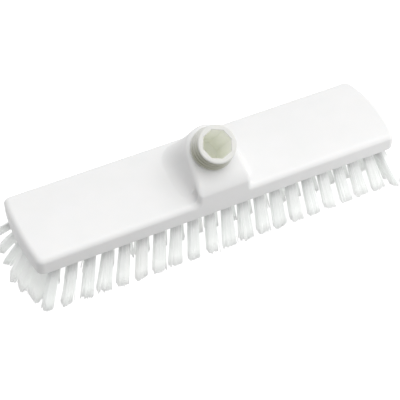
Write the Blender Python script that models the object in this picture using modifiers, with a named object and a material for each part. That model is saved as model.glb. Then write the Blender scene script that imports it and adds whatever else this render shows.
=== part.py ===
"""Floor scrub brush head: a moulded block with a leaning handle socket, an octagonal collar and fanned tufts.

Metres, +Z up. The origin is on the floor, under the middle of the whole brush. X runs along the block, and the
socket leans to the front, -Y. The brush stands on the trimmed tips of its bristles.
"""

import math

import bmesh
import bpy
from mathutils import Matrix, Vector

# The moulded block
CORNER_LENGTH = 0.3000
END_BOW = 0.0033
WIDTH = 0.0735
WALL_HEIGHT = 0.0127
CROWN = 0.0033
CORNER_RADIUS = 0.0065
TOP_EDGE_RADIUS = 0.0050
UNDER_EDGE_CHAMFER = 0.0006
CROWN_STRIPS = 12

# The socket boss: where its axis meets the top of the crown, its lean, and its outline
SOCKET_AXIS_Y = 0.0057
SOCKET_LEAN = math.radians(36.0)
SHOULDER_ALONG_AXIS = 0.0316
SHOULDER_BACK_WALL = 0.0045
SHOULDER_FRONT_FLARE = 0.0018
SHOULDER_CORNER_RADIUS = 0.0030
SHOULDER_EDGE_REACH = 0.0022
BEND_REACH = 0.0048
FOOT_FRONT_SPREAD = 0.0110
FOOT_SIDE_SPREAD = 0.0175
FOOT_WAIST_SPREAD = 0.0135
FOOT_BACK_SPREAD = 0.0060
FOOT_SINK = 0.0004
BOSS_PROUD = 0.0002
BOSS_ROOT = 0.0040
FLARE_RINGS = 7
BEND_RINGS = 4

# The collar in the socket
COLLAR_DIAMETER = 0.0300
COLLAR_EXPOSED = 0.0166
COLLAR_SEATED = 0.0240
COLLAR_RIM_ROUND = 0.0010
COLLAR_STEPS = 48
RIDGE_COUNT = 4
RIDGE_PITCH = 0.0022
RIDGE_WIDTH = 0.0014
RIDGE_HEIGHT = 0.0006
RIDGE_START = 0.0012
OCTAGON_ACROSS_FLATS = 0.0213
OCTAGON_LEAD_IN = 0.0008
COLLAR_CLEARANCE = 0.0003

# How far a cutter runs past the face that it cuts
CUTTER_BEYOND = 0.0020

# The slices of the block's underside that the strands are fused to
SLICE_THICKNESS = 0.0030
SLICE_GAP = 0.0003
RECESS_END_WALL = 0.0045
RECESS_SIDE_WALL = 0.0090

# The tufts: 4 rows, of which the outer two stand half a pitch along from the inner two, and a bowed row of 6
# at each end that starts behind the first row on the left
BRISTLE_REACH = 0.0455
LENGTH_BEYOND_REACH = 0.0015
COLUMNS_EACH_SIDE = 9
LAST_COLUMN_INSET = 0.0194
ROWS = 4
OUTER_ROW_INSET = 0.01475
END_TUFTS = 6
END_ROW_INSET = 0.0095
END_BOW_SHORT_SIDE = 0.0110
END_BOW_LONG_SIDE = 0.0005
SLICE_SHARE_BEFORE_COLUMN = 0.25

# How far the tips of a tuft lean out: a share of the foot's own distance from the middle, and a swing to one side
LEAN_X = 0.106
ROW_LEANS_Y = (0.60, 0.60, 0.0, 0.60)
ROW_SWINGS = (-0.0023, 0.0020, -0.0020, 0.0023)
END_LEAN_X = 0.116
END_LEAN_Y = 0.79
LEFT_END_SWING = 0.0080

# Each tuft is 5 square strands, one in the middle and one at each corner
STRAND_ROOT_SIDE = 0.0015
STRAND_TIP_SIDE = 0.0024
STRAND_ROOT_OFFSET = 0.0017
STRAND_TIP_OFFSET = 0.0031
STRAND_ROOT_SINK = 0.0012
STRAND_SHORTFALL = 0.0003
SHORTFALL_STEPS = 5

# What follows from those sizes
UNDERSIDE_Z = BRISTLE_REACH
TOP_Z = UNDERSIDE_Z + WALL_HEIGHT + CROWN
HALF_WIDTH = WIDTH / 2
BRISTLE_LENGTH = BRISTLE_REACH + LENGTH_BEYOND_REACH
COLUMN_PITCH = (CORNER_LENGTH / 2 - LAST_COLUMN_INSET) / (COLUMNS_EACH_SIDE + 0.5)
ROW_PITCH = 2 * (HALF_WIDTH - OUTER_ROW_INSET) / (ROWS - 1)
END_ROW_X = CORNER_LENGTH / 2 - END_ROW_INSET
COLLAR_RADIUS = COLLAR_DIAMETER / 2
SOCKET_RADIUS = COLLAR_RADIUS + COLLAR_CLEARANCE
SHOULDER_BACK_RADIUS = SOCKET_RADIUS + SHOULDER_BACK_WALL
SHOULDER_FRONT_HALF = SHOULDER_BACK_RADIUS + SHOULDER_FRONT_FLARE
STRAND_STEPS = ((0, 0), (-1, -1), (1, -1), (1, 1), (-1, 1))
SOCKET_AXIS = Vector((0.0, -math.sin(SOCKET_LEAN), math.cos(SOCKET_LEAN)))
SHOULDER_UP = Vector((0.0, math.cos(SOCKET_LEAN), math.sin(SOCKET_LEAN)))
SHOULDER_CENTRE = Vector((0.0, SOCKET_AXIS_Y, TOP_Z)) + SOCKET_AXIS * SHOULDER_ALONG_AXIS

# The left end's tufts reach further back than any reach forward, so the block's middle lies before the brush's
BLOCK_MIDDLE_Y = -LEFT_END_SWING / 2


def clear_scene():
    """Remove every object of the startup scene."""
    for obj in list(bpy.data.objects):
        bpy.data.objects.remove(obj, do_unlink=True)


def new_collection(name):
    """Return a new collection linked to the scene."""
    collection = bpy.data.collections.new(name)
    bpy.context.scene.collection.children.link(collection)
    return collection


def plastic(name, colour, roughness):
    """Return a Principled material for a moulded or drawn plastic."""
    material = bpy.data.materials.new(name)
    material.use_nodes = True
    shader = material.node_tree.nodes["Principled BSDF"]
    shader.inputs["Base Color"].default_value = (*colour, 1.0)
    shader.inputs["Roughness"].default_value = roughness
    shader.inputs["Metallic"].default_value = 0.0
    return material


def add_object(name, mesh, collection, material=None):
    """Link a new object with this mesh into a collection."""
    obj = bpy.data.objects.new(name, mesh)
    collection.objects.link(obj)
    if material:
        mesh.materials.append(material)
    return obj


def mesh_from(bm, name):
    """Turn a bmesh into a mesh whose faces point out, and free it."""
    bmesh.ops.recalc_face_normals(bm, faces=bm.faces)
    mesh = bpy.data.meshes.new(name)
    bm.to_mesh(mesh)
    bm.free()
    return mesh


def make_cutter(obj):
    """Keep a cutter out of renders, as wire in the viewport."""
    obj.hide_render = True
    obj.display_type = "WIRE"
    return obj


def add_boolean(obj, other, operation):
    """Add an exact Boolean with another object."""
    modifier = obj.modifiers.new(operation.title() + " " + other.name, "BOOLEAN")
    modifier.operation = operation
    modifier.solver = "EXACT"
    modifier.object = other
    return modifier


def shade_round(obj, degrees):
    """Shade an object smooth, apart from edges sharper than this angle."""
    obj.data.shade_smooth()
    obj.data.set_sharp_from_angle(angle=math.radians(degrees))


def end_reach(y):
    """How far the bowed end lies from the middle of the block, at this distance from its centre line."""
    radius = (HALF_WIDTH**2 + END_BOW**2) / (2 * END_BOW)
    return CORNER_LENGTH / 2 + END_BOW - radius + math.sqrt(radius**2 - y**2)


def plan_outline():
    """The block from above: straight long sides, bowed ends and rounded corners."""
    radius = (HALF_WIDTH**2 + END_BOW**2) / (2 * END_BOW)
    bow_x = CORNER_LENGTH / 2 + END_BOW - radius
    corner_y = HALF_WIDTH - CORNER_RADIUS
    corner_x = bow_x + math.sqrt((radius - CORNER_RADIUS) ** 2 - corner_y**2)
    meet = math.atan2(corner_y, corner_x - bow_x)
    quarter = []
    bow_steps = 6
    for i in range(bow_steps + 1):
        angle = meet * i / bow_steps
        quarter.append((bow_x + radius * math.cos(angle), radius * math.sin(angle)))
    corner_steps = 5
    for i in range(1, corner_steps + 1):
        angle = meet + (math.pi / 2 - meet) * i / corner_steps
        x = corner_x + CORNER_RADIUS * math.cos(angle)
        y = corner_y + CORNER_RADIUS * math.sin(angle)
        quarter.append((x, y))
    back = quarter + [(-x, y) for x, y in reversed(quarter)]
    return back + [(x, -y) for x, y in reversed(back[1:-1])]


def crown_drop(y):
    """How far the crowned top lies under its middle line."""
    return CROWN * (y / HALF_WIDTH) ** 2


def top_surface(y):
    """Height of the block's top at this place across it, with the rounded edge."""
    beyond_round = TOP_EDGE_RADIUS - max(HALF_WIDTH - abs(y), 0.0)
    fall = 0.0
    if beyond_round > 0:
        fall = TOP_EDGE_RADIUS - math.sqrt(TOP_EDGE_RADIUS**2 - beyond_round**2)
    return TOP_Z - crown_drop(y) - fall


def build_block_body(collection, material):
    """The block without its boss: an extruded outline with a rounded top edge and a crowned top."""
    bm = bmesh.new()
    outline = [bm.verts.new((x, y, UNDERSIDE_Z)) for x, y in plan_outline()]
    under = bm.faces.new(outline)
    raised = bmesh.ops.extrude_face_region(bm, geom=[under])["geom"]
    top_verts = [item for item in raised if isinstance(item, bmesh.types.BMVert)]
    bmesh.ops.translate(bm, verts=top_verts, vec=(0.0, 0.0, TOP_Z - UNDERSIDE_Z))
    edges_at = {UNDERSIDE_Z: [], TOP_Z: []}
    for edge in bm.edges:
        heights = {round(vert.co.z, 6) for vert in edge.verts}
        for height, found in edges_at.items():
            if heights == {round(height, 6)}:
                found.append(edge)
    bmesh.ops.bevel(bm, geom=edges_at[TOP_Z], offset=TOP_EDGE_RADIUS, segments=5, profile=0.5, affect="EDGES")
    bmesh.ops.bevel(bm, geom=edges_at[UNDERSIDE_Z], offset=UNDER_EDGE_CHAMFER, segments=1, affect="EDGES")
    for i in range(1, CROWN_STRIPS):
        y = -HALF_WIDTH + WIDTH * i / CROWN_STRIPS
        everything = bm.verts[:] + bm.edges[:] + bm.faces[:]
        bmesh.ops.bisect_plane(bm, geom=everything, plane_co=(0.0, y, 0.0), plane_no=(0.0, 1.0, 0.0))
    for vert in bm.verts:
        share = (vert.co.z - UNDERSIDE_Z) / (TOP_Z - UNDERSIDE_Z)
        vert.co.z -= crown_drop(vert.co.y) * share
    return add_object("block", mesh_from(bm, "block"), collection, material)


def shoulder_half_outline():
    """Half of the shoulder, from the middle of its front to the middle of its back.

    Each entry is x, the distance up the leaning shoulder, the outward normal, and how far back it is along
    the side: under 0 on the front, 0 round the front corner, then up to 1 where the round back starts.
    """
    front = -(HALF_WIDTH + BOSS_PROUD + SHOULDER_CENTRE.y) / SHOULDER_UP.y
    corner_up = SHOULDER_CORNER_RADIUS / SHOULDER_UP.y
    flat = SHOULDER_FRONT_HALF - SHOULDER_CORNER_RADIUS
    entries = [(flat * share, front, (0.0, -1.0), -1.0) for share in (0.0, 0.5)]
    corner_steps = 4
    for i in range(corner_steps + 1):
        angle = math.radians(-90 + 90 * i / corner_steps)
        x = flat + SHOULDER_CORNER_RADIUS * math.cos(angle)
        up = front + corner_up * (1 + math.sin(angle))
        entries.append((x, up, (math.cos(angle), math.sin(angle)), 0.0))
    side_steps = 6
    for i in range(1, side_steps):
        t = i / side_steps
        x = SHOULDER_FRONT_HALF + (SHOULDER_BACK_RADIUS - SHOULDER_FRONT_HALF) * t
        entries.append((x, (front + corner_up) * (1 - t), (1.0, 0.0), t))
    back_steps = 8
    for i in range(back_steps + 1):
        angle = math.pi / 2 * i / back_steps
        normal = (math.cos(angle), math.sin(angle))
        entries.append((SHOULDER_BACK_RADIUS * normal[0], SHOULDER_BACK_RADIUS * normal[1], normal, 1.0))
    return entries


def side_spread(t):
    """How far the foot spreads out from the boss's side: it swells just behind the front corner."""
    swell = min(3 * t, 1.0)
    swell = swell * swell * (3 - 2 * swell)
    behind = FOOT_SIDE_SPREAD + (FOOT_WAIST_SPREAD - FOOT_SIDE_SPREAD) * t
    return FOOT_FRONT_SPREAD + (behind - FOOT_FRONT_SPREAD) * swell


def foot_place(x, y, normal, t):
    """Where a line of the flank reaches the block, in x and y.

    Round the front corner the feet follow the block's own rounded edge, so the flare runs into it.
    """
    if t < 0:
        return x, -HALF_WIDTH - BOSS_PROUD
    if t == 0:
        return SHOULDER_FRONT_HALF + FOOT_FRONT_SPREAD, -HALF_WIDTH + TOP_EDGE_RADIUS * (1 + normal[1])
    foot_y = y + FOOT_BACK_SPREAD * max(normal[1], 0.0)
    return x + side_spread(t) * normal[0], min(foot_y, HALF_WIDTH - TOP_EDGE_RADIUS / 2)


def flank_points(entry):
    """One line of the boss's flank, from inside the block up over the shoulder's edge."""
    x, up, normal, t = entry
    sharp = SHOULDER_CENTRE + SHOULDER_UP * up
    sharp.x = x
    frontness = (1 - max(t, 0.0)) ** 2
    rise = SOCKET_AXIS.lerp(Vector((0.0, 0.0, 1.0)), frontness).normalized()
    bend_x = SHOULDER_EDGE_REACH * normal[0]
    bend_up = (BEND_REACH if normal[1] < 0 else SHOULDER_EDGE_REACH) * normal[1]
    bend = math.hypot(bend_x, bend_up)
    start = sharp - rise * bend
    landing = sharp - rise * ((sharp.z - TOP_Z) / rise.z)
    foot_x, foot_y = foot_place(x, landing.y, normal, t)
    foot = Vector((foot_x, foot_y, top_surface(foot_y) - FOOT_SINK))
    knee = start - rise * ((start.z - foot.z) / rise.z)
    points = [foot - Vector((0.0, 0.0, BOSS_ROOT))]
    for i in range(FLARE_RINGS):
        t = i / FLARE_RINGS
        points.append(foot * (1 - t) ** 2 + knee * (2 * t * (1 - t)) + start * t**2)
    for i in range(BEND_RINGS + 1):
        angle = math.pi / 2 * i / BEND_RINGS
        inward = 1 - math.cos(angle)
        across = Vector((-bend_x * inward, 0.0, 0.0)) - SHOULDER_UP * (bend_up * inward)
        points.append(sharp + across - rise * (bend * (1 - math.sin(angle))))
    return points


def build_boss(collection, material):
    """The socket boss, lofted from its flared foot on the block to its leaning shoulder."""
    half = [flank_points(entry) for entry in shoulder_half_outline()]
    mirrored = [[Vector((-p.x, p.y, p.z)) for p in line] for line in reversed(half[1:-1])]
    lines = half + mirrored
    bm = bmesh.new()
    grid = [[bm.verts.new(point) for point in line] for line in lines]
    for i, line in enumerate(grid):
        following = grid[(i + 1) % len(grid)]
        for j in range(len(line) - 1):
            bm.faces.new((line[j], following[j], following[j + 1], line[j + 1]))
    bm.faces.new([line[0] for line in grid])
    bm.faces.new([line[-1] for line in grid])
    return make_cutter(add_object("socket_boss", mesh_from(bm, "socket_boss"), collection, material))


def socket_matrix(along):
    """Places a shape made round +Z onto the socket's axis, this far above the shoulder."""
    turn = Matrix.Rotation(SOCKET_LEAN, 4, "X")
    return Matrix.Translation(SHOULDER_CENTRE + SOCKET_AXIS * along) @ turn


def build_socket_bore(collection):
    """Cutter for the bore that the collar is seated in."""
    above = COLLAR_EXPOSED
    depth = COLLAR_SEATED + COLLAR_CLEARANCE
    radius = SOCKET_RADIUS
    bm = bmesh.new()
    bmesh.ops.create_cone(
        bm, cap_ends=True, segments=COLLAR_STEPS, radius1=radius, radius2=radius, depth=above + depth
    )
    mesh = mesh_from(bm, "socket_bore")
    mesh.transform(socket_matrix((above - depth) / 2))
    return make_cutter(add_object("socket_bore", mesh, collection))


def add_box(name, low, high, collection, material=None):
    """A box between two corners."""
    size = Vector(high) - Vector(low)
    middle = (Vector(high) + Vector(low)) / 2
    bm = bmesh.new()
    bmesh.ops.create_cube(bm, size=1.0, matrix=Matrix.Translation(middle) @ Matrix.Diagonal((*size, 1.0)))
    return add_object(name, mesh_from(bm, name), collection, material)


def recess_half_sizes():
    """Half length and half width of the recess in the block's underside."""
    half_width = HALF_WIDTH - RECESS_SIDE_WALL
    return end_reach(half_width) - RECESS_END_WALL, half_width


def build_recess(collection):
    """Cutter for the recess that the bristle slices lie in."""
    half_length, half_width = recess_half_sizes()
    low = (-half_length, -half_width, UNDERSIDE_Z - CUTTER_BEYOND)
    high = (half_length, half_width, UNDERSIDE_Z + SLICE_THICKNESS + SLICE_GAP)
    return make_cutter(add_box("recess_cutter", low, high, collection))


def build_block(parts, cutters):
    """The whole moulded block: body and boss joined, then bored and recessed."""
    white = plastic("moulded_white_plastic", (0.86, 0.86, 0.85), 0.42)
    block = build_block_body(parts, white)
    add_boolean(block, build_boss(cutters, white), "UNION")
    add_boolean(block, build_socket_bore(cutters), "DIFFERENCE")
    add_boolean(block, build_recess(cutters), "DIFFERENCE")
    shade_round(block, 35)
    return block


def collar_profile():
    """The collar's outer side from the middle of its top, down past the ridges, to the middle of its foot."""
    top = COLLAR_EXPOSED
    points = [(0.0, top), (COLLAR_RADIUS - COLLAR_RIM_ROUND, top)]
    half_way = COLLAR_RIM_ROUND * (1 - math.sqrt(0.5))
    points.append((COLLAR_RADIUS - half_way, top - half_way))
    points.append((COLLAR_RADIUS, top - COLLAR_RIM_ROUND))
    for i in reversed(range(RIDGE_COUNT)):
        low = RIDGE_START + i * RIDGE_PITCH
        points.append((COLLAR_RADIUS, low + RIDGE_WIDTH))
        points.append((COLLAR_RADIUS + RIDGE_HEIGHT, low + RIDGE_WIDTH / 2))
        points.append((COLLAR_RADIUS, low))
    points.append((COLLAR_RADIUS, -COLLAR_SEATED))
    points.append((0.0, -COLLAR_SEATED))
    return points


def add_octagon(name, low, high, low_radius, high_radius, collection):
    """An octagonal cutter on the socket's axis, between two heights over the shoulder."""
    bm = bmesh.new()
    bmesh.ops.create_cone(
        bm,
        cap_ends=True,
        segments=8,
        radius1=low_radius,
        radius2=high_radius,
        depth=high - low,
        matrix=Matrix.Translation((0.0, 0.0, (low + high) / 2)),
    )
    mesh = mesh_from(bm, name)
    mesh.transform(socket_matrix(0.0))
    return make_cutter(add_object(name, mesh, collection))


def build_octagon_cutters(collection):
    """Cutters for the octagonal handle opening: a straight one, and one that widens its mouth."""
    corner = OCTAGON_ACROSS_FLATS / 2 / math.cos(math.pi / 8)
    top = COLLAR_EXPOSED
    lead = OCTAGON_LEAD_IN
    foot = -COLLAR_SEATED - CUTTER_BEYOND
    straight = add_octagon("octagon_cutter", foot, top + CUTTER_BEYOND, corner, corner, collection)
    narrow = corner - lead / 2
    mouth = add_octagon("mouth_cutter", top - lead, top + lead, narrow, narrow + 2 * lead, collection)
    return straight, mouth


def build_collar(parts, cutters):
    """The ivory collar: a turned sleeve with fine ridges, cut through by the octagonal opening."""
    ivory = plastic("ivory_plastic", (0.78, 0.77, 0.68), 0.38)
    bm = bmesh.new()
    verts = [bm.verts.new((x, 0.0, z)) for x, z in collar_profile()]
    for first, second in zip(verts, verts[1:]):
        bm.edges.new((first, second))
    mesh = bpy.data.meshes.new("socket_collar")
    bm.to_mesh(mesh)
    bm.free()
    collar = add_object("socket_collar", mesh, parts, ivory)
    collar.location = SHOULDER_CENTRE
    collar.rotation_euler.x = SOCKET_LEAN
    screw = collar.modifiers.new("Screw", "SCREW")
    screw.steps = COLLAR_STEPS
    screw.render_steps = COLLAR_STEPS
    screw.use_merge_vertices = True
    screw.merge_threshold = 0.00001
    for cutter in build_octagon_cutters(cutters):
        add_boolean(collar, cutter, "DIFFERENCE")
    return collar


def row_y(row):
    """How far across the block a row of tufts lies, counted from the front."""
    return (row - (ROWS - 1) / 2) * ROW_PITCH


def end_tufts(side):
    """Foot and lean of each tuft in the bowed row at one end. The two rows are half a turn apart."""
    swing = LEFT_END_SWING if side < 0 else 0.0
    tufts = []
    for i in range(END_TUFTS):
        y = row_y((i + 1) / 2)
        bow = END_BOW_SHORT_SIDE if y < 0 else END_BOW_LONG_SIDE
        x = -END_ROW_X + bow * (y / row_y(ROWS - 1)) ** 2
        tufts.append((-side * x, -side * y, -side * END_LEAN_X * x, -side * END_LEAN_Y * y + swing))
    return tufts


def column_tufts(column, shifted):
    """Foot and lean of each tuft in a column: the outer rows stand half a pitch along from the inner rows."""
    x = (column + 0.5 * shifted) * COLUMN_PITCH
    tufts = []
    for row in (0, ROWS - 1) if shifted else range(1, ROWS - 1):
        y = row_y(row)
        tufts.append((x, y, LEAN_X * x + ROW_SWINGS[row], ROW_LEANS_Y[row] * y))
    return tufts


def tuft_groups():
    """Name, low and high x of the backing slice, and tufts, for every bristle node."""
    half_length = recess_half_sizes()[0] - SLICE_GAP / 2
    before = SLICE_SHARE_BEFORE_COLUMN
    outer = (COLUMNS_EACH_SIDE + before) * COLUMN_PITCH
    groups = []
    for i, column in enumerate(range(-COLUMNS_EACH_SIDE, COLUMNS_EACH_SIDE + 1)):
        tufts = column_tufts(column, False)
        high = outer
        if column < COLUMNS_EACH_SIDE:
            tufts += column_tufts(column, True)
            high = (column + 1 - before) * COLUMN_PITCH
        groups.append((f"bristle_strip_{i + 1:02d}", (column - before) * COLUMN_PITCH, high, tufts))
    for name, side in (("left", -1), ("right", 1)):
        last_column = -COLUMNS_EACH_SIDE - 1 if side < 0 else COLUMNS_EACH_SIDE
        low, high = sorted((side * outer, side * half_length))
        groups.append((f"bristle_end_{name}", low, high, column_tufts(last_column, True) + end_tufts(side)))
    return groups


def add_strand(bm, tuft, step, shortfall):
    """One square strand, from inside its slice to its cut end, trimmed flat where it would pass the floor."""
    x, y, lean_x, lean_y = tuft
    foot = Vector((x + step[0] * STRAND_ROOT_OFFSET, y + step[1] * STRAND_ROOT_OFFSET, UNDERSIDE_Z))
    spread = STRAND_TIP_OFFSET - STRAND_ROOT_OFFSET
    out = Vector((lean_x + step[0] * spread, lean_y + step[1] * spread, 0.0))
    drop = math.sqrt((BRISTLE_LENGTH - shortfall) ** 2 - out.length_squared)
    kept = min(UNDERSIDE_Z / drop, 1.0)
    tip = foot + (out - Vector((0.0, 0.0, drop))) * kept
    root = foot + Vector((0.0, 0.0, STRAND_ROOT_SINK))
    rings = []
    for centre, side in ((root, STRAND_ROOT_SIDE), (tip, STRAND_TIP_SIDE)):
        corners = ((-1, -1), (1, -1), (1, 1), (-1, 1))
        rings.append([bm.verts.new(centre + Vector((a * side / 2, b * side / 2, 0.0))) for a, b in corners])
    upper, lower = rings
    bm.faces.new(upper)
    bm.faces.new(list(reversed(lower)))
    for i in range(4):
        bm.faces.new((upper[i], upper[(i + 1) % 4], lower[(i + 1) % 4], lower[i]))


def build_bristles(parts, cutters):
    """Every bristle node: its strands, fused to its own slice of the block's underside."""
    bristle = plastic("bristle_white", (0.88, 0.90, 0.89), 0.45)
    _, half_width = recess_half_sizes()
    gap = SLICE_GAP
    for name, low_x, high_x, tufts in tuft_groups():
        bm = bmesh.new()
        for i, tuft in enumerate(tufts):
            for j, step in enumerate(STRAND_STEPS):
                add_strand(bm, tuft, step, STRAND_SHORTFALL * ((3 * i + 2 * j) % SHORTFALL_STEPS))
        strands = make_cutter(add_object(name + "_strands", mesh_from(bm, name + "_strands"), cutters))
        low = (low_x + gap / 2, -half_width + gap, UNDERSIDE_Z)
        high = (high_x - gap / 2, half_width - gap, UNDERSIDE_Z + SLICE_THICKNESS)
        strip = add_box(name, low, high, parts, bristle)
        add_boolean(strip, strands, "UNION")


def main():
    """Build the brush head round the block's middle, then move it so that the origin is under the brush's."""
    clear_scene()
    parts = new_collection("floor_scrub_brush")
    cutters = new_collection("cutters")
    build_block(parts, cutters)
    build_collar(parts, cutters)
    build_bristles(parts, cutters)
    for obj in parts.objects[:] + cutters.objects[:]:
        obj.location.y += BLOCK_MIDDLE_Y


main()
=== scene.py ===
"""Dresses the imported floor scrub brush: smooth moulded plastic, a turned collar and tufts of fine filaments."""

import math

import bmesh
import bpy
import numpy as np
from mathutils import Matrix, Vector


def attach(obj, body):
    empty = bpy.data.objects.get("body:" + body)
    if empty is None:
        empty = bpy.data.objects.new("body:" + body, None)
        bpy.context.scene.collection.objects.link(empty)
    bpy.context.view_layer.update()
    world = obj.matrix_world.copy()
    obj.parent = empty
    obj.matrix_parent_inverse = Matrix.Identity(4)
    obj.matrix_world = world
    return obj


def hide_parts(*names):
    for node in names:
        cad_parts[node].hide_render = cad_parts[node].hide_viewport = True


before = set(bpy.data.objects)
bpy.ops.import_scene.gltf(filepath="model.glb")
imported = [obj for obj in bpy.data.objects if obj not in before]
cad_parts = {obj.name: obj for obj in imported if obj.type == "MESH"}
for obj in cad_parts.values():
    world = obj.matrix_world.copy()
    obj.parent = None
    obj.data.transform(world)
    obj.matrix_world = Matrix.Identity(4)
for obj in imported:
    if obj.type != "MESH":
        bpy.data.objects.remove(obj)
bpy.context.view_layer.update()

# The block
CORNER_LENGTH = 0.3000
END_BOW = 0.0033
HALF_WIDTH = 0.03675
CORNER_RADIUS = 0.0058
TOP_EDGE_RADIUS = 0.0043
UNDER_EDGE_RADIUS = 0.0009
TOP_EDGE_STEPS = 12
UNDER_EDGE_STEPS = 4
ROUND_PROFILE = 0.5
RIM_UNDERSIDE_Z = 0.0444
UNDERSIDE_Z = 0.0455
TOP_Z = 0.0615
CROWN = 0.0033
BLOCK_SHARP_ANGLE = 38
FACE_WEIGHT = 90

# The boss
SOCKET_AXIS_Y = 0.0057
SOCKET_LEAN = math.radians(36.0)
SHOULDER_ALONG_AXIS = 0.0316
SHOULDER_BACK_RADIUS = 0.0198
SHOULDER_FRONT_HALF = 0.0216
SHOULDER_CORNER_RADIUS = 0.0030
SHOULDER_EDGE_REACH = 0.0040
BEND_REACH_UP = 0.0080
BEND_REACH_DOWN = 0.0050
BEND_CORNER_RADIUS = 0.0015
FOOT_FRONT_SPREAD = 0.0110
FOOT_SIDE_SPREAD = 0.0175
FOOT_WAIST_SPREAD = 0.0135
FOOT_BACK_SPREAD = 0.0060
FRONT_SHARES = (0.0, 0.35, 0.7)
SWELL_RATE = 3
FLANK_PULL = 1.4
HOLLOW_DEPTH = 0.0090
HOLLOW_END = 0.24
BOSS_PROUD = 0.0001
FOOT_SINK = 0.0003
FOOT_ROOT = 0.004
BORE_INSIDE = 0.0151
INNER_RING_SHARE = 0.08

# The collar
COLLAR_RADIUS = 0.0150
COLLAR_EXPOSED = 0.0166
COLLAR_SEATED = 0.0240
COLLAR_CLEARANCE = 0.0003
COLLAR_EDGE_RADIUS = 0.0012
COLLAR_EDGE_STEPS = 6
COLLAR_STRAIGHT_FROM = 0.0004
COLLAR_SHARP_ANGLE = 30
ROUND_STEPS = 128
MERGE_DISTANCE = 0.00001
COLLAR_RIDGES = 3
RIDGE_PITCH = 0.0041
RIDGE_HALF = 0.0015
RIDGE_HEIGHT = 0.0016
RIDGE_STEP = 0.0006
RIDGE_CURVE_STEPS = 8
FIRST_RIDGE_DEPTH = 0.0052
BORE_FLOOR = 0.0008
OCTAGON_SIDES = 8
OCTAGON_ACROSS_FLATS = 0.0213
OCTAGON_LEAD_IN = 0.0008
CUTTER_BEYOND = 0.002

# The tufts
LAST_COLUMN_INSET = 0.0194
COLUMNS_EACH_SIDE = 9
LAST_ROW = 3
OUTER_ROWS = (0, LAST_ROW)
INNER_ROWS = (1, 2)
OUTER_ROW_INSET = 0.01475
END_TUFTS = 6
END_ROW_INSET = 0.0095
END_BOW_SHORT_SIDE = 0.0110
END_BOW_LONG_SIDE = 0.0005
LEAN_X = 0.106
ROW_LEANS_Y = (0.60, 0.60, 0.0, 0.60)
ROW_SWINGS = (-0.0023, 0.0020, -0.0020, 0.0023)
END_LEAN_X = 0.116
END_LEAN_Y = 0.79
LEFT_END_SWING = 0.0080
BRISTLE_LENGTH = 0.0470
TUFT_ROOT_HALF = 0.0032
TUFT_ROOT_SINK = 0.0004
TUFT_TIP_WIDE_HALF = 0.0045
TUFT_TIP_WIDENING = 0.25
TUFT_TIP_DEEP_HALF = 0.0026
TUFT_TIP_SQUARENESS = 12
END_TUFT_TIP_WIDE_HALF = 0.0047
END_TUFT_TIP_DEEP_HALF = 0.0034
TIP_ABOVE_FLOOR = 0.0001
LEAST_HEIGHT = 0.00005
LEAST_DISTANCE = 1e-6
RIM_FILAMENTS = 50
INNER_FILAMENTS = 24
FILAMENTS = RIM_FILAMENTS + INNER_FILAMENTS
FILAMENT_RADIUS = 0.00034
FILAMENT_SIDES = 5
RINGS = 6
CORE_SIDES = 18
CORE_SHARE = 0.86
CORE_SHORTER = 0.0012
CORE_SCATTER = 0.0008

# How the tufts differ from one another, and the filaments within one
FIRST_SEED = 100
LEAN_SCATTER = 0.0004
WIDTH_SCATTER = 0.05
SLANT_SCATTER = 0.0007
CHIP_DEPTH = 0.0028
CHIP_SIDES = (-1, 0, 1, 1)
CHIP_START = 0.35
NOTCHED_SHARE = 0.4
NOTCH_DEPTHS = (0.0006, 0.0022)
NOTCH_REACH = 0.7
NOTCH_HALF = 0.16
RIM_PLACES = (0.90, 1.03)
INNER_REACH = 0.8
BEND_POWER = 2.5
BEND_SCATTER = 0.00024
STRAY_SHARE = 0.04
STRAY_BEND = 0.0012
LOCK_SHARE = 0.45
LOCK_SIDES = (-1, 1, 1)
LOCK_START = 0.78
LOCK_BENDS = (0.0008, 0.0022)
CUT_SCATTER = 0.0005
MIDDLE_TONE = 0.5
TUFT_TONE_SCATTER = 0.08
CORE_TONE_DROP = 0.15
FILAMENT_TONE_SCATTER = 0.18

# The painted shade on the collar's side: its share towards the left and towards the front of the collar
PAINTED_SHADE_LEFT = 0.73
PAINTED_SHADE_FRONT = 0.68

# The camera, the place that the lights look at, and the direction that the world is brightest in
CAMERA_AZIMUTH = math.radians(-26.4)
CAMERA_ELEVATION = math.radians(46.24)
CAMERA_DISTANCE = 0.94125
CAMERA_LENS = 113.9
CAMERA_AIM_X = -0.02012
CAMERA_AIM_Y = -0.03439
BRUSH_MIDDLE = Vector((0.0, 0.0, 0.05))
BRIGHT_SIDE = (0.33, -0.08, 0.94)

SOCKET_AXIS = Vector((0.0, -math.sin(SOCKET_LEAN), math.cos(SOCKET_LEAN)))
SHOULDER_UP = Vector((0.0, math.cos(SOCKET_LEAN), math.sin(SOCKET_LEAN)))
# The direction in which the collar's painted shade is darkest
PAINTED_SHADE_SIDE = Vector((-PAINTED_SHADE_LEFT, 0.0, 0.0)) - PAINTED_SHADE_FRONT * SHOULDER_UP
SHOULDER_CENTRE = Vector((0.0, SOCKET_AXIS_Y, TOP_Z)) + SOCKET_AXIS * SHOULDER_ALONG_AXIS
COLUMN_PITCH = (CORNER_LENGTH / 2 - LAST_COLUMN_INSET) / (COLUMNS_EACH_SIDE + 0.5)
ROW_PITCH = 2 * (HALF_WIDTH - OUTER_ROW_INSET) / LAST_ROW
END_ROW_X = CORNER_LENGTH / 2 - END_ROW_INSET

# Everything is built round the block's middle and then moved to the frame's origin
BLOCK_MIDDLE_Y = -LEFT_END_SWING / 2
SHOULDER_IN_FRAME = SHOULDER_CENTRE + Vector((0.0, BLOCK_MIDDLE_Y, 0.0))


# Materials

# Sockets of the colour mix node, whose names aren't unique
MIX_FIRST = 6
MIX_SECOND = 7
MIX_RESULT = 2


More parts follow.
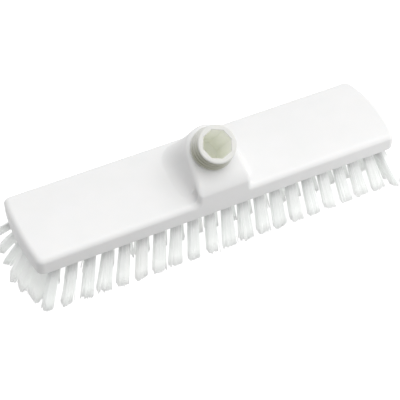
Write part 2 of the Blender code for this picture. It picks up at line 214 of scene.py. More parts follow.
class Shader:
    """A Principled material and the few nodes that give it detail."""

    def __init__(self, name):
        self.material = bpy.data.materials.new(name)
        self.material.use_nodes = True
        self.tree = self.material.node_tree
        self.principled = self.tree.nodes["Principled BSDF"]
        self.place = self.tree.nodes.new("ShaderNodeTexCoord").outputs["Object"]

    def put(self, name, value):
        self.principled.inputs[name].default_value = value

    def noise(self, scale, detail=4.0, roughness=0.55):
        node = self.tree.nodes.new("ShaderNodeTexNoise")
        node.inputs["Scale"].default_value = scale
        node.inputs["Detail"].default_value = detail
        node.inputs["Roughness"].default_value = roughness
        self.tree.links.new(self.place, node.inputs["Vector"])
        return node.outputs["Fac"]

    def along(self, axis, low, high):
        """How far along an axis a point is, from 0 at the low distance to 1 at the high one."""
        dot = self.tree.nodes.new("ShaderNodeVectorMath")
        dot.operation = "DOT_PRODUCT"
        dot.inputs[1].default_value = axis
        self.tree.links.new(self.place, dot.inputs[0])
        scale = self.tree.nodes.new("ShaderNodeMapRange")
        scale.inputs["From Min"].default_value = low
        scale.inputs["From Max"].default_value = high
        self.tree.links.new(dot.outputs["Value"], scale.inputs["Value"])
        return scale.outputs["Result"]

    def multiply(self, first, second, share=None):
        """One colour times another. The share says how much the second one counts at each point."""
        node = self.tree.nodes.new("ShaderNodeMix")
        node.data_type = "RGBA"
        node.blend_type = "MULTIPLY"
        node.inputs["Factor"].default_value = 1.0
        if share:
            self.tree.links.new(share, node.inputs["Factor"])
        self.tree.links.new(first, node.inputs[MIX_FIRST])
        self.tree.links.new(second, node.inputs[MIX_SECOND])
        return node.outputs[MIX_RESULT]

    def ramp(self, value, stops):
        node = self.tree.nodes.new("ShaderNodeValToRGB")
        elements = node.color_ramp.elements
        while len(elements) < len(stops):
            elements.new(position=0.5)
        for element, (position, colour) in zip(elements, stops):
            element.position = position
            element.color = (*colour, 1.0)
        self.tree.links.new(value, node.inputs["Fac"])
        return node.outputs["Color"]

    def bump(self, height, strength, distance, under=None):
        node = self.tree.nodes.new("ShaderNodeBump")
        node.inputs["Strength"].default_value = strength
        node.inputs["Distance"].default_value = distance
        self.tree.links.new(height, node.inputs["Height"])
        if under:
            self.tree.links.new(under, node.inputs["Normal"])
        return node.outputs["Normal"]

    def feed(self, output, name):
        self.tree.links.new(output, self.principled.inputs[name])


def grey(value):
    return (value, value, value)


def block_material():
    """White moulded plastic: faint mottle, uneven gloss and a fine skin."""
    shader = Shader("block_plastic")
    tones = [(0.30, (0.795, 0.797, 0.793)), (0.70, (0.820, 0.817, 0.816))]
    roughness = [(0.30, grey(0.36)), (0.70, grey(0.46))]
    shader.feed(shader.ramp(shader.noise(scale=34.0), tones), "Base Color")
    shader.feed(shader.ramp(shader.noise(scale=120.0), roughness), "Roughness")
    waves = shader.bump(shader.noise(scale=55.0, detail=2.0), strength=0.10, distance=0.0006)
    skin = shader.bump(shader.noise(scale=1500.0, detail=2.0), strength=0.06, distance=0.0001, under=waves)
    shader.feed(skin, "Normal")
    shader.put("Specular IOR Level", 0.45)
    shader.put("Subsurface Weight", 0.12)
    shader.put("Subsurface Radius", (0.9, 0.8, 0.7))
    shader.put("Subsurface Scale", 0.0016)
    return shader.material


def collar_depth(shader):
    """Where a point of the collar is along the socket's axis, from 0 at the collar's foot to 1 at its rim."""
    rim = SHOULDER_IN_FRAME.dot(SOCKET_AXIS) + COLLAR_EXPOSED
    return shader.along(SOCKET_AXIS, rim - COLLAR_EXPOSED - COLLAR_SEATED, rim)


def ivory_shader(name, low_tone, high_tone):
    """Ivory plastic, a little glossier than the block, with a faint skin. Its colour is returned too."""
    shader = Shader(name)
    roughness = [(0.30, grey(0.30)), (0.70, grey(0.42))]
    tone = shader.ramp(shader.noise(scale=90.0), [(0.30, low_tone), (0.70, high_tone)])
    shader.feed(tone, "Base Color")
    shader.feed(shader.ramp(shader.noise(scale=240.0), roughness), "Roughness")
    skin = shader.bump(shader.noise(scale=900.0, detail=2.0), strength=0.08, distance=0.0001)
    shader.feed(skin, "Normal")
    shader.put("Specular IOR Level", 0.5)
    shader.put("Subsurface Weight", 0.15)
    shader.put("Subsurface Radius", (1.0, 0.95, 0.7))
    shader.put("Subsurface Scale", 0.002)
    return shader, tone


def collar_material():
    """The collar's outside: pale at the rim, and below it painted shade, olive-tinted and darkest towards its front
    left.
    """
    # Painted shade: below the rim the colour is darkened and tinted olive, most on the side that faces front left.
    below_rim = [(0.90, grey(1.0)), (0.965, grey(0.0))]
    painted_shade_tones = [(0.60, (0.98, 0.98, 0.96)), (0.94, (0.63, 0.63, 0.54))]
    shader, tone = ivory_shader("collar_plastic", low_tone=(0.66, 0.66, 0.63), high_tone=(0.71, 0.71, 0.685))
    below = shader.ramp(collar_depth(shader), below_rim)
    middle = PAINTED_SHADE_SIDE.dot(SHOULDER_IN_FRAME)
    facing = shader.along(PAINTED_SHADE_SIDE, middle - COLLAR_RADIUS, middle + COLLAR_RADIUS)
    shader.feed(shader.multiply(tone, shader.ramp(facing, painted_shade_tones), below), "Base Color")
    return shader.material


def bore_material():
    """The collar's inside, with a painted glow that stands in for light coming through the thin wall; the glow is
    dimmer and more olive deeper in the bore.
    """
    glow = [(0.0, (0.60, 0.62, 0.51)), (1.0, (0.84, 0.85, 0.78))]
    shader, _ = ivory_shader("collar_bore", low_tone=(0.82, 0.83, 0.77), high_tone=(0.86, 0.86, 0.81))
    # Painted light: an emission glow, pale near the rim and darker and more olive towards the collar's foot.
    shader.feed(shader.ramp(collar_depth(shader), glow), "Emission Color")
    shader.put("Emission Strength", 0.135)
    return shader.material


def bristle_material():
    """White filament with faint differences between strands, painted shade near the roots, and a painted glow,
    strongest at the tips, that stands in for light through the strands.
    """
    tones = [(0.0, (0.90, 0.93, 0.92)), (0.5, (0.955, 0.967, 0.958)), (1.0, (0.99, 0.985, 0.975))]
    # Painted shade: the base colour darkens near the roots, just under the block.
    root_shade = [(0.58, grey(1.0)), (0.76, grey(0.80))]
    # Painted light: an emission glow that is strongest at the tips and fades towards the roots.
    glow = [(0.0, (1.0, 1.0, 0.99)), (0.35, (0.64, 0.66, 0.64)), (0.58, (0.48, 0.49, 0.48)), (0.76, grey(0.18))]
    roughness = [(0.30, grey(0.34)), (0.70, grey(0.50))]
    shader = Shader("bristle_filament")
    strand = shader.tree.nodes.new("ShaderNodeAttribute")
    strand.attribute_name = "strand_tone"
    tint = shader.ramp(strand.outputs["Fac"], tones)
    height = shader.along((0.0, 0.0, 1.0), 0.0, UNDERSIDE_Z)
    # The strands' own tone times the painted shade near the roots.
    shader.feed(shader.multiply(tint, shader.ramp(height, root_shade)), "Base Color")
    shader.feed(shader.ramp(shader.noise(scale=400.0), roughness), "Roughness")
    shader.put("Specular IOR Level", 0.4)
    shader.put("Subsurface Weight", 0.4)
    shader.put("Subsurface Radius", (1.0, 1.0, 1.0))
    shader.put("Subsurface Scale", 0.0015)
    # The painted glow, by height.
    shader.feed(shader.ramp(height, glow), "Emission Color")
    shader.put("Emission Strength", 0.215)
    return shader.material


# Meshes


def add_object(name, mesh, material=None):
    obj = bpy.data.objects.new(name, mesh)
    bpy.context.scene.collection.objects.link(obj)
    if material:
        mesh.materials.append(material)
    return obj


def mesh_from(bm, name):
    bmesh.ops.recalc_face_normals(bm, faces=bm.faces)
    mesh = bpy.data.meshes.new(name)
    bm.to_mesh(mesh)
    bm.free()
    return mesh


def combine(obj, other, operation):
    """Bake a Boolean into an object, and remove the other object."""
    modifier = obj.modifiers.new(operation, "BOOLEAN")
    modifier.operation = operation
    modifier.solver = "MANIFOLD"
    modifier.object = other
    bake(obj)
    bpy.data.objects.remove(other)


def bake(obj):
    """Turn an object's modifiers into its mesh."""
    graph = bpy.context.evaluated_depsgraph_get()
    mesh = bpy.data.meshes.new_from_object(obj.evaluated_get(graph))
    obj.modifiers.clear()
    obj.data = mesh


def shade(obj, degrees):
    """Shade smooth with flat faces kept flat, apart from edges sharper than this angle."""
    obj.data.shade_smooth()
    obj.data.set_sharp_from_angle(angle=math.radians(degrees))
    weighted = obj.modifiers.new("weighted_normals", "WEIGHTED_NORMAL")
    weighted.keep_sharp = True
    weighted.weight = FACE_WEIGHT


def dress(obj, node):
    """Move a finished piece to the frame's origin and put it in the place of its CAD node."""
    obj.data.transform(Matrix.Translation((0.0, BLOCK_MIDDLE_Y, 0.0)))
    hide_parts(node)
    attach(obj, "root")


def plan_outline(bow_steps=16, corner_steps=10):
    """The block from above: straight long sides, bowed ends and rounded corners."""
    radius = (HALF_WIDTH**2 + END_BOW**2) / (2 * END_BOW)
    bow_x = CORNER_LENGTH / 2 + END_BOW - radius
    corner_y = HALF_WIDTH - CORNER_RADIUS
    corner_x = bow_x + math.sqrt((radius - CORNER_RADIUS) ** 2 - corner_y**2)
    meet = math.atan2(corner_y, corner_x - bow_x)
    quarter = []
    for i in range(bow_steps + 1):
        angle = meet * i / bow_steps
        quarter.append((bow_x + radius * math.cos(angle), radius * math.sin(angle)))
    for i in range(1, corner_steps + 1):
        angle = meet + (math.pi / 2 - meet) * i / corner_steps
        x = corner_x + CORNER_RADIUS * math.cos(angle)
        quarter.append((x, corner_y + CORNER_RADIUS * math.sin(angle)))
    back = quarter + [(-x, y) for x, y in reversed(quarter)]
    return back + [(x, -y) for x, y in reversed(back[1:-1])]


def top_surface(y):
    """Height of the block's top at this place across it, with the rounded edge."""
    beyond_round = TOP_EDGE_RADIUS - max(HALF_WIDTH - abs(y), 0.0)
    fall = 0.0
    if beyond_round > 0:
        fall = TOP_EDGE_RADIUS - math.sqrt(TOP_EDGE_RADIUS**2 - beyond_round**2)
    return TOP_Z - CROWN * (y / HALF_WIDTH) ** 2 - fall


def make_block(strips=40, bays=36):
    """The block without its boss, cut into small faces so that it joins cleanly and shades evenly."""
    bm = bmesh.new()
    outline = [bm.verts.new((x, y, RIM_UNDERSIDE_Z)) for x, y in plan_outline()]
    under = bm.faces.new(outline)
    raised = bmesh.ops.extrude_face_region(bm, geom=[under])["geom"]
    top_verts = [item for item in raised if isinstance(item, bmesh.types.BMVert)]
    bmesh.ops.translate(bm, verts=top_verts, vec=(0.0, 0.0, TOP_Z - RIM_UNDERSIDE_Z))
    edges_at = {RIM_UNDERSIDE_Z: [], TOP_Z: []}
    for edge in bm.edges:
        heights = {round(vert.co.z, 6) for vert in edge.verts}
        for height, found in edges_at.items():
            if heights == {round(height, 6)}:
                found.append(edge)
    for height, radius, steps in (
        (TOP_Z, TOP_EDGE_RADIUS, TOP_EDGE_STEPS),
        (RIM_UNDERSIDE_Z, UNDER_EDGE_RADIUS, UNDER_EDGE_STEPS),
    ):
        bmesh.ops.bevel(
            bm, geom=edges_at[height], offset=radius, segments=steps, profile=ROUND_PROFILE, affect="EDGES"
        )
    for i in range(1, strips):
        y = -HALF_WIDTH + 2 * HALF_WIDTH * i / strips
        everything = bm.verts[:] + bm.edges[:] + bm.faces[:]
        bmesh.ops.bisect_plane(bm, geom=everything, plane_co=(0.0, y, 0.0), plane_no=(0.0, 1.0, 0.0))
    for i in range(bays + 1):
        x = CORNER_LENGTH * (i / bays - 0.5)
        everything = bm.verts[:] + bm.edges[:] + bm.faces[:]
        bmesh.ops.bisect_plane(bm, geom=everything, plane_co=(x, 0.0, 0.0), plane_no=(1.0, 0.0, 0.0))
    for vert in bm.verts:
        share = (vert.co.z - RIM_UNDERSIDE_Z) / (TOP_Z - RIM_UNDERSIDE_Z)
        vert.co.z -= CROWN * (vert.co.y / HALF_WIDTH) ** 2 * share
    return add_object("block_body", mesh_from(bm, "block_body"))


def shoulder_half_outline():
    """Half of the shoulder's sharp outline: for each point its place, the place where its rounding ends on the
    shoulder (both as x and distance up the shoulder), the outward normal, and how far back it is along the side."""
    front = -(HALF_WIDTH + BOSS_PROUD + SHOULDER_CENTRE.y) / SHOULDER_UP.y
    corner_up = SHOULDER_CORNER_RADIUS / SHOULDER_UP.y
    flat = SHOULDER_FRONT_HALF - SHOULDER_CORNER_RADIUS
    inner_front = front + BEND_REACH_UP
    inner_flat = SHOULDER_FRONT_HALF - SHOULDER_EDGE_REACH - BEND_CORNER_RADIUS
    entries = []
    for share in FRONT_SHARES:
        entries.append(((flat * share, front), (inner_flat * share, inner_front), (0.0, -1.0), -1.0))
    corner_steps = 10
    for i in range(corner_steps + 1):
        angle = math.radians(-90 + 90 * i / corner_steps)
        normal = (math.cos(angle), math.sin(angle))
        sharp = (flat + SHOULDER_CORNER_RADIUS * normal[0], front + corner_up * (1 + normal[1]))
        inner_x = inner_flat + BEND_CORNER_RADIUS * normal[0]
        entries.append((sharp, (inner_x, inner_front + BEND_CORNER_RADIUS * (1 + normal[1])), normal, 0.0))
    side_steps = 18
    for i in range(1, side_steps):
        t = i / side_steps
        x = SHOULDER_FRONT_HALF + (SHOULDER_BACK_RADIUS - SHOULDER_FRONT_HALF) * t
        inner = (x - SHOULDER_EDGE_REACH, (inner_front + BEND_CORNER_RADIUS) * (1 - t))
        entries.append(((x, (front + corner_up) * (1 - t)), inner, (1.0, 0.0), t))
    back_steps = 24
    inner_radius = SHOULDER_BACK_RADIUS - SHOULDER_EDGE_REACH
    for i in range(back_steps + 1):
        angle = math.pi / 2 * i / back_steps
        normal = (math.cos(angle), math.sin(angle))
        sharp = (SHOULDER_BACK_RADIUS * normal[0], SHOULDER_BACK_RADIUS * normal[1])
        entries.append((sharp, (inner_radius * normal[0], inner_radius * normal[1]), normal, 1.0))
    return entries


def side_spread(t):
    """How far the foot spreads out from the boss's side: it swells just behind the front corner."""
    swell = min(SWELL_RATE * t, 1.0)
    swell = swell * swell * (3 - 2 * swell)
    behind = FOOT_SIDE_SPREAD + (FOOT_WAIST_SPREAD - FOOT_SIDE_SPREAD) * t
    return FOOT_FRONT_SPREAD + (behind - FOOT_FRONT_SPREAD) * swell


def foot_place(x, y, normal, t):
    """Where a line of the flank reaches the block, in x and y."""
    if t < 0:
        return x, -HALF_WIDTH - BOSS_PROUD
    if t == 0:
        return SHOULDER_FRONT_HALF + FOOT_FRONT_SPREAD, -HALF_WIDTH + TOP_EDGE_RADIUS * (1 + normal[1])
    foot_y = y + FOOT_BACK_SPREAD * max(normal[1], 0.0)
    return x + side_spread(t) * normal[0], min(foot_y, HALF_WIDTH - TOP_EDGE_RADIUS / 2)


def on_shoulder(place):
    """A point of the shoulder's plane from its x and its distance up the shoulder."""
    return SHOULDER_CENTRE + SHOULDER_UP * place[1] + Vector((place[0], 0.0, 0.0))


def flank_points(entry, flare_rings=20, bend_rings=10):
    """One line of the boss's flank, from inside the block up over the shoulder's edge. It is pulled in to a small
    pocket behind the boss's front corner."""
    sharp_place, inner_place, normal, t = entry
    sharp = on_shoulder(sharp_place)
    frontness = (1 - max(t, 0.0)) ** 2
    rise = SOCKET_AXIS.lerp(Vector((0.0, 0.0, 1.0)), frontness).normalized()
    reach_down = BEND_REACH_DOWN if normal[1] < 0 else SHOULDER_EDGE_REACH
    bend = math.hypot(SHOULDER_EDGE_REACH * normal[0], reach_down * normal[1])
    start = sharp - rise * bend
    landing = sharp - rise * ((sharp.z - TOP_Z) / rise.z)
    foot_x, foot_y = foot_place(sharp_place[0], landing.y, normal, t)
    foot = Vector((foot_x, foot_y, top_surface(foot_y) - FOOT_SINK))
    knee = start - rise * ((start.z - foot.z) / rise.z)
    if 0 < t < HOLLOW_END:
        knee.x -= HOLLOW_DEPTH * math.sin(math.pi * t / HOLLOW_END) ** 2
    points = [foot - Vector((0.0, 0.0, FOOT_ROOT))]
    for i in range(flare_rings):
        up = i / flare_rings
        shares = ((1 - up) ** 2, 2 * up * (1 - up) * (1 + FLANK_PULL * frontness), up**2)
        points.append((foot * shares[0] + knee * shares[1] + start * shares[2]) / sum(shares))
    across = on_shoulder(inner_place) - sharp
    for i in range(bend_rings + 1):
        angle = math.pi / 2 * i / bend_rings
        points.append(sharp + across * (1 - math.cos(angle)) - rise * (bend * (1 - math.sin(angle))))
    shrink = BORE_INSIDE / math.hypot(*inner_place)
    bore_edge = on_shoulder((inner_place[0] * shrink, inner_place[1] * shrink))
    points.append(points[-1].lerp(bore_edge, INNER_RING_SHARE))
    points.append(bore_edge)
    return points


def make_boss():
    """The socket boss, lofted from its flared foot on the block to its leaning shoulder."""
    half = [flank_points(entry) for entry in shoulder_half_outline()]
    mirrored = [[Vector((-p.x, p.y, p.z)) for p in line] for line in reversed(half[1:-1])]
    bm = bmesh.new()
    grid = [[bm.verts.new(point) for point in line] for line in half + mirrored]
    for i, line in enumerate(grid):
        following = grid[(i + 1) % len(grid)]
        for j in range(len(line) - 1):
            bm.faces.new((line[j], following[j], following[j + 1], line[j + 1]))
    bm.faces.new([line[0] for line in grid])
    bm.faces.new([line[-1] for line in grid])
    return add_object("boss", mesh_from(bm, "boss"))


def socket_matrix():
    return Matrix.Translation(SHOULDER_CENTRE) @ Matrix.Rotation(SOCKET_LEAN, 4, "X")


def axis_cone(low, high, low_radius, high_radius, segments):
    """A cone or prism on the socket's axis, between two heights over the shoulder."""
    bm = bmesh.new()
    bmesh.ops.create_cone(
        bm,
        cap_ends=True,
        segments=segments,
        radius1=low_radius,
        radius2=high_radius,
        depth=high - low,
        matrix=Matrix.Translation((0.0, 0.0, (low + high) / 2)),
    )
    mesh = mesh_from(bm, "cutter")
    mesh.transform(socket_matrix())
    return add_object("cutter", mesh)


def block_piece(material):
    """Block and boss in one, bored for the collar."""
    block = make_block()
    combine(block, make_boss(), "UNION")
    radius = COLLAR_RADIUS + COLLAR_CLEARANCE
    depth = COLLAR_SEATED + COLLAR_CLEARANCE
    combine(block, axis_cone(-depth, COLLAR_EXPOSED, radius, radius, ROUND_STEPS), "DIFFERENCE")
    block.data.materials.clear()
    block.data.materials.append(material)
    shade(block, BLOCK_SHARP_ANGLE)
    return block


def collar_profile():
    """Outer side of the collar, from the middle of its top down past its ridges to the middle of its foot."""
    top = COLLAR_EXPOSED
    edge = COLLAR_EDGE_RADIUS
    points = [(0.0, top), (COLLAR_RADIUS - edge, top)]
    for i in range(1, COLLAR_EDGE_STEPS + 1):
        angle = math.pi / 2 * i / COLLAR_EDGE_STEPS
        points.append((COLLAR_RADIUS - edge * (1 - math.sin(angle)), top - edge * (1 - math.cos(angle))))
    for i in range(COLLAR_RIDGES):
        crest = COLLAR_RADIUS + RIDGE_STEP * (i + 1)
        middle = top - FIRST_RIDGE_DEPTH - RIDGE_PITCH * i
        for j in range(RIDGE_CURVE_STEPS + 1):
            angle = math.pi * j / RIDGE_CURVE_STEPS
            points.append((crest - RIDGE_HEIGHT * (1 - math.sin(angle)), middle + RIDGE_HALF * math.cos(angle)))
    points.append((COLLAR_RADIUS, COLLAR_STRAIGHT_FROM))
    points.append((COLLAR_RADIUS, -COLLAR_SEATED))
    points.append((0.0, -COLLAR_SEATED))
    return points


def collar_piece(material, bore_material):
    """The turned collar, cut by the octagonal opening with its slightly wider mouth."""
    bm = bmesh.new()
    verts = [bm.verts.new((x, 0.0, z)) for x, z in collar_profile()]
    for first, second in zip(verts, verts[1:]):
        bm.edges.new((first, second))
    mesh = bpy.data.meshes.new("collar_body")
    bm.to_mesh(mesh)
    bm.free()
    collar = add_object("collar_body", mesh)
    screw = collar.modifiers.new("Screw", "SCREW")
    screw.steps = ROUND_STEPS
    screw.render_steps = ROUND_STEPS
    screw.use_merge_vertices = True
    screw.merge_threshold = MERGE_DISTANCE
    bake(collar)
    collar.data.transform(socket_matrix())
    corner = OCTAGON_ACROSS_FLATS / 2 / math.cos(math.pi / OCTAGON_SIDES)
    top = COLLAR_EXPOSED
    opening = axis_cone(BORE_FLOOR - COLLAR_SEATED, top + CUTTER_BEYOND, corner, corner, OCTAGON_SIDES)
    combine(collar, opening, "DIFFERENCE")
    lead = OCTAGON_LEAD_IN
    narrow = corner - lead / 2
    mouth = axis_cone(top - lead, top + lead, narrow, narrow + 2 * lead, OCTAGON_SIDES)
    combine(collar, mouth, "DIFFERENCE")
    collar.data.materials.clear()
    collar.data.materials.append(material)
    collar.data.materials.append(bore_material)
    to_collar = socket_matrix().inverted()
    for face in collar.data.polygons:
        centre = to_collar @ face.center
        inside = math.hypot(centre.x, centre.y) < corner and -COLLAR_SEATED < centre.z < top - lead
        face.material_index = 1 if inside else 0
    shade(collar, COLLAR_SHARP_ANGLE)
    return collar


# Tufts


def row_y(row):
    """Where a row of tufts stands across the block, from row 0 at the front to the last row at the back."""
    return (row - LAST_ROW / 2) * ROW_PITCH


def end_tufts(side):
    """Foot, lean, heading and tip size of each tuft in the bowed row at one end. The two rows are half a turn
    apart."""
    swing = LEFT_END_SWING if side < 0 else 0.0
    tufts = []
    for i in range(END_TUFTS):
        y = row_y((i + 1) / 2)
        bow = END_BOW_SHORT_SIDE if y < 0 else END_BOW_LONG_SIDE
        x = -END_ROW_X + bow * (y / row_y(LAST_ROW)) ** 2
        lean_x = -side * END_LEAN_X * x
        lean_y = -side * END_LEAN_Y * y + swing
        heading = math.atan2(-lean_x, lean_y)
        tip = (END_TUFT_TIP_WIDE_HALF, END_TUFT_TIP_DEEP_HALF)
        tufts.append((-side * x, -side * y, lean_x, lean_y, heading, *tip))
    return tufts


def column_tufts(column, shifted):
    """Foot, lean, heading and tip size of each tuft in a column: the outer rows stand half a pitch from the
    inner rows."""
    x = (column + 0.5 * shifted) * COLUMN_PITCH
    tufts = []
    for row in OUTER_ROWS if shifted else INNER_ROWS:
        y = row_y(row)
        lean_x = LEAN_X * x + ROW_SWINGS[row]
        wide = TUFT_TIP_WIDE_HALF * (1 + TUFT_TIP_WIDENING * x / CORNER_LENGTH)
        tufts.append((x, y, lean_x, ROW_LEANS_Y[row] * y, 0.0, wide, TUFT_TIP_DEEP_HALF))
    return tufts


def tuft_groups():
    """The CAD node and the tufts of every bristle piece."""
    groups = []
    for i, column in enumerate(range(-COLUMNS_EACH_SIDE, COLUMNS_EACH_SIDE + 1)):
        tufts = column_tufts(column, False)
        if column < COLUMNS_EACH_SIDE:
            tufts += column_tufts(column, True)
        groups.append((f"strip_{i + 1:02d}", tufts))
    for name, side in (("left", -1), ("right", 1)):
        last_column = -COLUMNS_EACH_SIDE - 1 if side < 0 else COLUMNS_EACH_SIDE
        groups.append((f"end_{name}", column_tufts(last_column, True) + end_tufts(side)))
    return groups


def blade_places(count):
    """Places round the outside of a tuft, evenly spaced on the blade that it fans out into."""
    wide, deep = TUFT_TIP_WIDE_HALF, TUFT_TIP_DEEP_HALF
    along = 4 * (wide + deep) * (np.arange(count) + 0.5) / count
    corners = np.cumsum([0.0, 2 * wide, 2 * deep, 2 * wide, 2 * deep])
    x = np.interp(along, corners, [-1.0, 1.0, 1.0, -1.0, -1.0])
    y = np.interp(along, corners, [-1.0, -1.0, 1.0, 1.0, -1.0])
    return np.stack([x, y], 1)


class Tuft:
    """One bunch of filaments: round in its hole, it fans out into a flat blade with a ragged cut."""

    def __init__(self, rng, tuft):
        x, y, lean_x, lean_y, heading, wide, deep = tuft
        self.rng = rng
        self.foot = np.array((x, y))
        self.lean = np.array((lean_x, lean_y)) + rng.normal(0, LEAN_SCATTER, 2)
        self.across = np.array([math.cos(heading), math.sin(heading)])
        self.out = np.array([-self.across[1], self.across[0]])
        self.wide = wide * (1 + rng.normal(0, WIDTH_SCATTER))
        self.deep = deep
        self.slant = rng.normal(0, SLANT_SCATTER)
        self.chip = rng.uniform(0, CHIP_DEPTH) * rng.choice(CHIP_SIDES)
        self.notch = rng.uniform(-NOTCH_REACH, NOTCH_REACH)
        self.notch_depth = rng.uniform(*NOTCH_DEPTHS) * (rng.random() < NOTCHED_SHARE)

    def cut(self, places):
        """The change in length of the filaments at these places: a slant, a chipped corner and a notch."""
        x = places[:, 0]
        corner = np.clip((x * np.sign(self.chip) - CHIP_START) / (1 - CHIP_START), 0, 1)
        notch = np.clip(1 - np.abs(x - self.notch) / NOTCH_HALF, 0, 1)
        return self.slant * x - abs(self.chip) * corner - self.notch_depth * notch

    def lines(self, places, bend, cut):
        """Centre lines that start at these places in the tuft's section."""
        s = np.linspace(0, 1, RINGS)
        spread = 1 - (1 - s) ** 2
        size = np.abs(places).max(1, keepdims=True)
        from_middle = np.maximum(np.linalg.norm(places, axis=1, keepdims=True), LEAST_DISTANCE)
        root = places / from_middle * size * TUFT_ROOT_HALF
        power = TUFT_TIP_SQUARENESS
        rounded = size * (np.abs(places / size) ** power).sum(1, keepdims=True) ** (-1 / power)
        tip = places / size * rounded * np.array([self.wide, self.deep])
        offset = root[:, None, :] + (tip - root)[:, None, :] * spread[None, :, None]
        offset = offset[..., :1] * self.across + offset[..., 1:] * self.out
        out = self.lean * s[None, :, None] + offset + bend[:, None, :] * (s**BEND_POWER)[None, :, None]
        out -= offset[:, :1]
        drop = math.sqrt(BRISTLE_LENGTH**2 - (self.lean**2).sum()) + cut
        kept = np.minimum((UNDERSIDE_Z - TIP_ABOVE_FLOOR) / drop, 1.0)
        points = np.empty((len(places), RINGS, 3))
        points[:, :, :2] = self.foot + offset[:, :1] + out * kept[:, None, None]
        points[:, :, 2] = UNDERSIDE_Z - s[None, :] * (drop * kept)[:, None]
        points[:, 0, 2] = UNDERSIDE_Z + TUFT_ROOT_SINK
        return points

    def filaments(self):
        """Centre lines of the filaments: most lie round the outside, and some break away near the tip."""
        rng = self.rng
        rim = blade_places(RIM_FILAMENTS) * rng.uniform(*RIM_PLACES, RIM_FILAMENTS)[:, None]
        inner = rng.uniform(-INNER_REACH, INNER_REACH, (INNER_FILAMENTS, 2))
        places = np.concatenate([rim, inner])
        bend = rng.normal(0, BEND_SCATTER, (FILAMENTS, 2))
        stray = rng.random(FILAMENTS) < STRAY_SHARE
        bend += stray[:, None] * rng.normal(0, STRAY_BEND, (FILAMENTS, 2))
        if rng.random() < LOCK_SHARE:
            side = rng.choice(LOCK_SIDES)
            lock = places[:, 0] * side > LOCK_START
            bend += lock[:, None] * self.across * side * rng.uniform(*LOCK_BENDS)
        cut = self.cut(places) - np.abs(rng.normal(0, CUT_SCATTER, FILAMENTS))
        return self.lines(places, bend, cut)

    def core(self):
        """Rings of the solid-looking middle of the bunch, which stops short of the filaments' tips."""
        places = blade_places(CORE_SIDES)
        cut = self.cut(places) - CORE_SHORTER - self.rng.uniform(0, CORE_SCATTER, CORE_SIDES)
        return self.lines(CORE_SHARE * places, np.zeros((CORE_SIDES, 2)), cut)


def tube_faces(count, sides):
    """Quads along tubes that have this many sides, and a cap at each tube's lower end."""
    step = np.arange(RINGS - 1)[:, None] * sides
    base = step + np.arange(sides)[None, :]
    following = step + (np.arange(sides) + 1)[None, :] % sides
    quads = np.stack([base, following, following + sides, base + sides], 2).reshape(-1, 4)
    cap = (RINGS - 1) * sides + np.arange(sides)
    shift = np.arange(count)[:, None] * RINGS * sides
    return (quads[None] + shift[:, :, None]).reshape(-1, 4).tolist() + (cap[None] + shift).tolist()


def filament_verts(lines):
    """Rings of points round each filament's centre line."""
    along = np.gradient(lines, axis=1)
    along /= np.linalg.norm(along, axis=2, keepdims=True)
    side = np.cross(along, np.array([0.0, 1.0, 0.0]))
    side /= np.linalg.norm(side, axis=2, keepdims=True)
    other = np.cross(side, along)
    angle = 2 * math.pi * np.arange(FILAMENT_SIDES) / FILAMENT_SIDES
    ring = np.cos(angle)[:, None] * side[:, :, None, :] + np.sin(angle)[:, None] * other[:, :, None, :]
    verts = lines[:, :, None, :] + FILAMENT_RADIUS * ring
    verts[..., 2] = np.maximum(verts[..., 2], LEAST_HEIGHT)
    return verts.reshape(-1, 3)


def tuft_piece(name, tufts, rng, material):
    """A mesh of tufts: for each one its core and its filaments."""
    verts = []
    faces = []
    tones = []
    count = 0
    for place in tufts:
        tuft = Tuft(rng, place)
        tone = rng.normal(MIDDLE_TONE, TUFT_TONE_SCATTER)
        core = tuft.core().transpose(1, 0, 2).reshape(-1, 3)
        strands = filament_verts(tuft.filaments())
        for points, tubes, sides in ((core, 1, CORE_SIDES), (strands, FILAMENTS, FILAMENT_SIDES)):
            verts.append(points)
            faces += [[index + count for index in face] for face in tube_faces(tubes, sides)]
            count += len(points)
        tones.append(np.full(len(core), tone - CORE_TONE_DROP))
        strand_tones = rng.normal(tone, FILAMENT_TONE_SCATTER, FILAMENTS)
        tones.append(np.repeat(strand_tones, RINGS * FILAMENT_SIDES))
    mesh = bpy.data.meshes.new(name)
    mesh.from_pydata(np.concatenate(verts).tolist(), [], faces)
    attribute = mesh.attributes.new("strand_tone", "FLOAT", "POINT")
    attribute.data.foreach_set("value", np.concatenate(tones).clip(0, 1).astype(np.float32))
    mesh.shade_smooth()
    return add_object(name, mesh, material)


def bristle_pieces(material):
    """A piece of fine filaments for every bristle node."""
    for number, (name, tufts) in enumerate(tuft_groups()):
        rng = np.random.default_rng(FIRST_SEED + number)
        piece = tuft_piece(f"tufts_{name}", tufts, rng, material)
        dress(piece, f"bristle_{name}")


# Stage


def seen_directly(tree):
    """1 for the rays that show the background: the camera's own, and those off gloss and through glass."""
    path = tree.nodes.new("ShaderNodeLightPath")
    seen = path.outputs["Is Camera Ray"]
    for name in ("Is Glossy Ray", "Is Transmission Ray"):
        either = tree.nodes.new("ShaderNodeMath")
        either.operation = "MAXIMUM"
        tree.links.new(seen, either.inputs[0])
        tree.links.new(path.outputs[name], either.inputs[1])
        seen = either.outputs["Value"]
    return seen


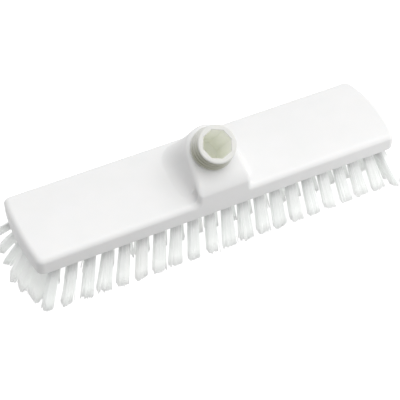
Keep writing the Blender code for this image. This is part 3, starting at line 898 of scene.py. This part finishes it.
def make_floor():
    """A pale floor that takes a faint shadow. Where it is seen directly it glows a little, so it reads as white."""
    bpy.ops.mesh.primitive_plane_add(size=8.0, location=(0.0, 0.0, 0.0))
    floor = bpy.context.object
    floor.name = "floor"
    material = bpy.data.materials.new("floor_white")
    material.use_nodes = True
    tree = material.node_tree
    shader = tree.nodes["Principled BSDF"]
    shader.inputs["Base Color"].default_value = (*grey(0.36), 1.0)
    shader.inputs["Roughness"].default_value = 0.9
    shader.inputs["Specular IOR Level"].default_value = 0.1
    glow = tree.nodes.new("ShaderNodeEmission")
    glow.inputs["Strength"].default_value = 0.92
    add = tree.nodes.new("ShaderNodeAddShader")
    seen = tree.nodes.new("ShaderNodeMixShader")
    tree.links.new(shader.outputs["BSDF"], add.inputs[0])
    tree.links.new(glow.outputs["Emission"], add.inputs[1])
    tree.links.new(seen_directly(tree), seen.inputs["Fac"])
    tree.links.new(shader.outputs["BSDF"], seen.inputs[1])
    tree.links.new(add.outputs["Shader"], seen.inputs[2])
    tree.links.new(seen.outputs["Shader"], tree.nodes["Material Output"].inputs["Surface"])
    floor.data.materials.append(material)


def make_world():
    """Soft light from all round, a little stronger from above and from the right. Seen directly, it is white."""
    world = bpy.data.worlds.new("studio")
    bpy.context.scene.world = world
    world.use_nodes = True
    tree = world.node_tree
    background = tree.nodes["Background"]
    place = tree.nodes.new("ShaderNodeTexCoord")
    direction = tree.nodes.new("ShaderNodeVectorMath")
    direction.operation = "DOT_PRODUCT"
    direction.inputs[1].default_value = BRIGHT_SIDE
    tree.links.new(place.outputs["Generated"], direction.inputs[0])
    scale = tree.nodes.new("ShaderNodeMapRange")
    scale.inputs["From Min"].default_value = -1.0
    scale.inputs["From Max"].default_value = 1.0
    scale.inputs["To Min"].default_value = 0.0
    scale.inputs["To Max"].default_value = 1.0
    tree.links.new(direction.outputs["Value"], scale.inputs["Value"])
    tree.links.new(scale.outputs["Result"], background.inputs["Strength"])
    background.inputs["Color"].default_value = (*grey(1.0), 1.0)
    plain = tree.nodes.new("ShaderNodeBackground")
    plain.inputs["Color"].default_value = (*grey(1.0), 1.0)
    plain.inputs["Strength"].default_value = 1.0
    mix = tree.nodes.new("ShaderNodeMixShader")
    tree.links.new(seen_directly(tree), mix.inputs["Fac"])
    tree.links.new(background.outputs["Background"], mix.inputs[1])
    tree.links.new(plain.outputs["Background"], mix.inputs[2])
    tree.links.new(mix.outputs["Shader"], tree.nodes["World Output"].inputs["Surface"])


def add_area(name, towards, distance, size, power):
    """A square soft light that looks at the middle of the brush from this direction."""
    light = bpy.data.lights.new(name, "AREA")
    light.shape = "SQUARE"
    light.size = size
    light.energy = power
    obj = bpy.data.objects.new(name, light)
    direction = Vector(towards).normalized()
    obj.location = BRUSH_MIDDLE + direction * distance
    obj.rotation_mode = "QUATERNION"
    obj.rotation_quaternion = direction.to_track_quat("Z", "Y")
    bpy.context.scene.collection.objects.link(obj)


def make_camera():
    """The photo's viewpoint, as found from the block's corners and edges."""
    level = math.cos(CAMERA_ELEVATION)
    back = Vector(
        (
            math.sin(CAMERA_AZIMUTH) * level,
            -math.cos(CAMERA_AZIMUTH) * level,
            math.sin(CAMERA_ELEVATION),
        )
    )
    right = Vector((math.cos(CAMERA_AZIMUTH), math.sin(CAMERA_AZIMUTH), 0.0))
    up = back.cross(right)
    data = bpy.data.cameras.new("camera")
    data.sensor_width = 36.0
    data.lens = CAMERA_LENS
    data.clip_start = 0.05
    data.clip_end = 50.0
    camera = bpy.data.objects.new("camera", data)
    aim = Vector((CAMERA_AIM_X, CAMERA_AIM_Y + BLOCK_MIDDLE_Y, TOP_Z))
    turn = Matrix((right, up, back)).transposed().to_4x4()
    camera.matrix_world = Matrix.Translation(aim + back * CAMERA_DISTANCE) @ turn
    bpy.context.scene.collection.objects.link(camera)
    bpy.context.scene.camera = camera


def main():
    dress(block_piece(block_material()), "block")
    dress(collar_piece(collar_material(), bore_material()), "socket_collar")
    bristle_pieces(bristle_material())
    make_floor()
    make_world()
    add_area("key", towards=(0.37, -0.13, 0.9), distance=3.4, size=3.0, power=49.0)
    add_area("fill", towards=(0.75, -0.65, -0.03), distance=0.5, size=0.015, power=0.36)
    make_camera()
    bpy.context.scene.view_settings.view_transform = "Standard"


main()
